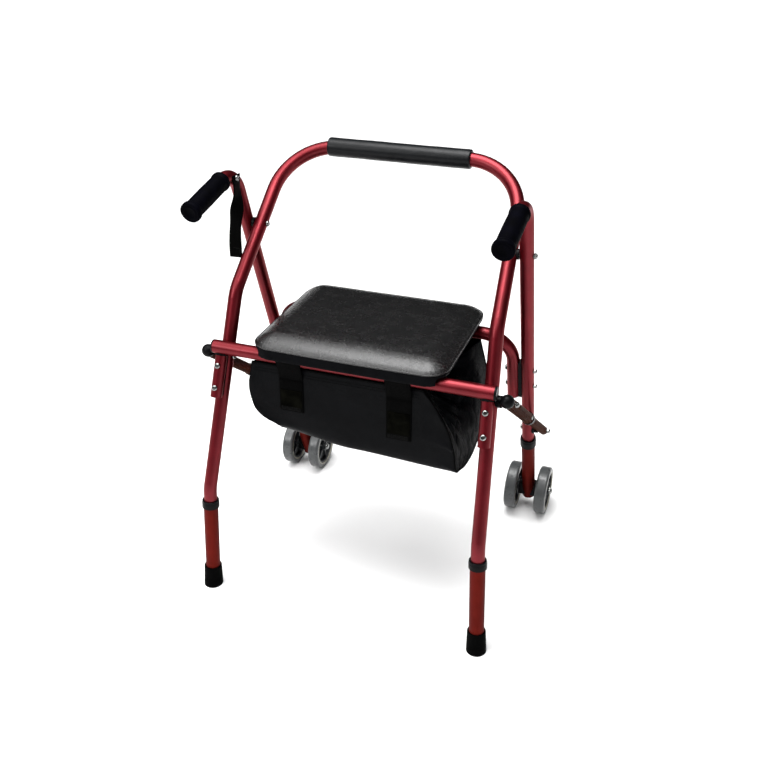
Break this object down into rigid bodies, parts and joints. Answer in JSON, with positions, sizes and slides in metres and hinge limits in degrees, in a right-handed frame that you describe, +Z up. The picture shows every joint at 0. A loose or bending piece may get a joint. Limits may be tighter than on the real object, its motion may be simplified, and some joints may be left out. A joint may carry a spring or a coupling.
{
  "type": "rollator walker",
  "caption": "Folding walking frame with front twin wheels, rear rubber-tipped legs, hand grips, arched padded backrest bar, flip-up padded seat and a fabric bag under it.",
  "frame": {"origin": "on the floor, below the middle of the walker's box", "axes": "+X to the user's right, +Y forward towards the wheels, +Z up"},
  "size_m": [0.6534, 0.5428, 0.83],
  "materials": {
    "frame_paint": "metallic burgundy gloss",
    "leg_paint": "dark red gloss",
    "link_paint": "bronze semi-gloss",
    "black_plastic": "moulded satin",
    "bright_steel": "polished zinc plate",
    "foam": "closed-cell foam with a skin",
    "grip_rubber": "matte soft grip",
    "tip_rubber": "matte",
    "tyre": "smooth grey",
    "hub_plastic": "dark grey moulded",
    "seat_vinyl": "black glossy grain",
    "seat_board": "black moulded board",
    "bag_nylon": "black woven nylon",
    "webbing": "black webbing"
  },
  "bodies": {
    "rear_frame": {"arch_frame": "frame_paint", "backrest_pad": "foam", "rear_crossbar": "frame_paint", "crossbar_plugs": "black_plastic", "crossbar_stub_right": "frame_paint", "crossbar_stub_left": "frame_paint", "crossbar_cups": "black_plastic", "stub_strips": "black_plastic", "rear_frame_spacers": "black_plastic", "rear_frame_bolts": "bright_steel", "rear_snap_clips": "bright_steel", "bag": "bag_nylon", "bag_rear_straps": "webbing"},
    "front_frame": {"handle_tube_right": "frame_paint", "handle_tube_left": "frame_paint", "hand_grip_right": "grip_rubber", "hand_grip_left": "grip_rubber", "front_crossbar": "frame_paint", "crossbar_strips": "black_plastic", "front_leg_spacers": "black_plastic", "front_frame_bolts": "bright_steel", "front_snap_clips": "bright_steel", "bag_front_straps": "webbing", "hand_strap": "webbing"},
    "seat": {"seat_board": "seat_board", "seat_cushion": "seat_vinyl", "seat_mounts": "black_plastic"},
    "rear_leg_right": {"rear_leg_sleeve_right": "leg_paint", "rear_leg_collar_right": "black_plastic", "rubber_tip_right": "tip_rubber"},
    "front_leg_right": {"front_leg_sleeve_right": "leg_paint", "front_leg_collar_right": "black_plastic", "wheel_axle_right": "bright_steel", "axle_blocks_right": "black_plastic"},
    "wheel_outer_right": {"tyre_outer_right": "tyre", "hub_outer_right": "hub_plastic"},
    "wheel_inner_right": {"tyre_inner_right": "tyre", "hub_inner_right": "hub_plastic"},
    "link_outer_right": {"link_outer_tube_right": "link_paint", "link_caps_right": "black_plastic"},
    "link_inner_right": {"link_inner_tube_right": "link_paint", "link_end_bolt_right": "bright_steel", "link_snap_clip_right": "bright_steel"},
    "rear_leg_left": {"rear_leg_sleeve_left": "leg_paint", "rear_leg_collar_left": "black_plastic", "rubber_tip_left": "tip_rubber"},
    "front_leg_left": {"front_leg_sleeve_left": "leg_paint", "front_leg_collar_left": "black_plastic", "wheel_axle_left": "bright_steel", "axle_blocks_left": "black_plastic"},
    "wheel_outer_left": {"tyre_outer_left": "tyre", "hub_outer_left": "hub_plastic"},
    "wheel_inner_left": {"tyre_inner_left": "tyre", "hub_inner_left": "hub_plastic"},
    "link_outer_left": {"link_outer_tube_left": "link_paint", "link_caps_left": "black_plastic"},
    "link_inner_left": {"link_inner_tube_left": "link_paint", "link_end_bolt_left": "bright_steel", "link_snap_clip_left": "bright_steel"}
  },
  "joints": [
    {"name": "fold", "type": "hinge", "parent": "rear_frame", "child": "front_frame", "pos_m": [0, -0.00318, 0.69143], "axis": [-1, 0, 0], "range_deg": [0, 32], "deforming": ["bag"]},
    {"name": "seat_flip", "type": "hinge", "parent": "front_frame", "child": "seat", "pos_m": [0, 0.0641, 0.4975], "axis": [-1, 0, 0], "range_deg": [0, 85]},
    {"name": "rear_leg_slide_right", "type": "slide", "parent": "rear_frame", "child": "rear_leg_right", "axis": [0.0437, -0.0511, -0.9977], "range_m": [0, 0.075], "deforming": ["rear_snap_clips"]},
    {"name": "front_leg_slide_right", "type": "slide", "parent": "front_frame", "child": "front_leg_right", "axis": [0.0045, 0.3276, -0.9448], "range_m": [0, 0.075], "deforming": ["front_snap_clips"]},
    {"name": "wheel_spin_outer_right", "type": "hinge", "parent": "front_leg_right", "child": "wheel_outer_right", "pos_m": [0.3065, 0.2181, 0.0533], "axis": [1, 0, 0], "continuous": true},
    {"name": "wheel_spin_inner_right", "type": "hinge", "parent": "front_leg_right", "child": "wheel_inner_right", "pos_m": [0.2393, 0.2181, 0.0533], "axis": [1, 0, 0], "continuous": true},
    {"name": "link_swing_right", "type": "hinge", "parent": "rear_frame", "child": "link_outer_right", "pos_m": [0.2865, -0.1495, 0.479], "axis": [-1, 0, 0], "range_deg": [0, 42.77]},
    {"name": "link_slide_right", "type": "slide", "parent": "link_outer_right", "child": "link_inner_right", "axis": [-0.044, -0.7959, 0.6039], "range_m": [0, 0.1308], "deforming": ["link_snap_clip_right"]},
    {"name": "rear_leg_slide_left", "type": "slide", "parent": "rear_frame", "child": "rear_leg_left", "axis": [-0.0437, -0.0511, -0.9977], "range_m": [0, 0.075], "deforming": ["rear_snap_clips"]},
    {"name": "front_leg_slide_left", "type": "slide", "parent": "front_frame", "child": "front_leg_left", "axis": [-0.0045, 0.3276, -0.9448], "range_m": [0, 0.075], "deforming": ["front_snap_clips"]},
    {"name": "wheel_spin_outer_left", "type": "hinge", "parent": "front_leg_left", "child": "wheel_outer_left", "pos_m": [-0.3065, 0.2181, 0.0533], "axis": [1, 0, 0], "continuous": true},
    {"name": "wheel_spin_inner_left", "type": "hinge", "parent": "front_leg_left", "child": "wheel_inner_left", "pos_m": [-0.2393, 0.2181, 0.0533], "axis": [1, 0, 0], "continuous": true},
    {"name": "link_swing_left", "type": "hinge", "parent": "rear_frame", "child": "link_outer_left", "pos_m": [-0.2865, -0.1495, 0.479], "axis": [-1, 0, 0], "range_deg": [0, 42.77]},
    {"name": "link_slide_left", "type": "slide", "parent": "link_outer_left", "child": "link_inner_left", "axis": [0.044, -0.7959, 0.6039], "range_m": [0, 0.1308], "deforming": ["link_snap_clip_left"]}
  ],
  "couplings": [
    {"joint": "link_swing_right", "follows": "fold", "ratio": 1.3351},
    {"joint": "link_slide_right", "follows": "fold", "m_per_rad": 0.23385},
    {"joint": "link_swing_left", "follows": "fold", "ratio": 1.3351},
    {"joint": "link_slide_left", "follows": "fold", "m_per_rad": 0.23385}
  ]
}
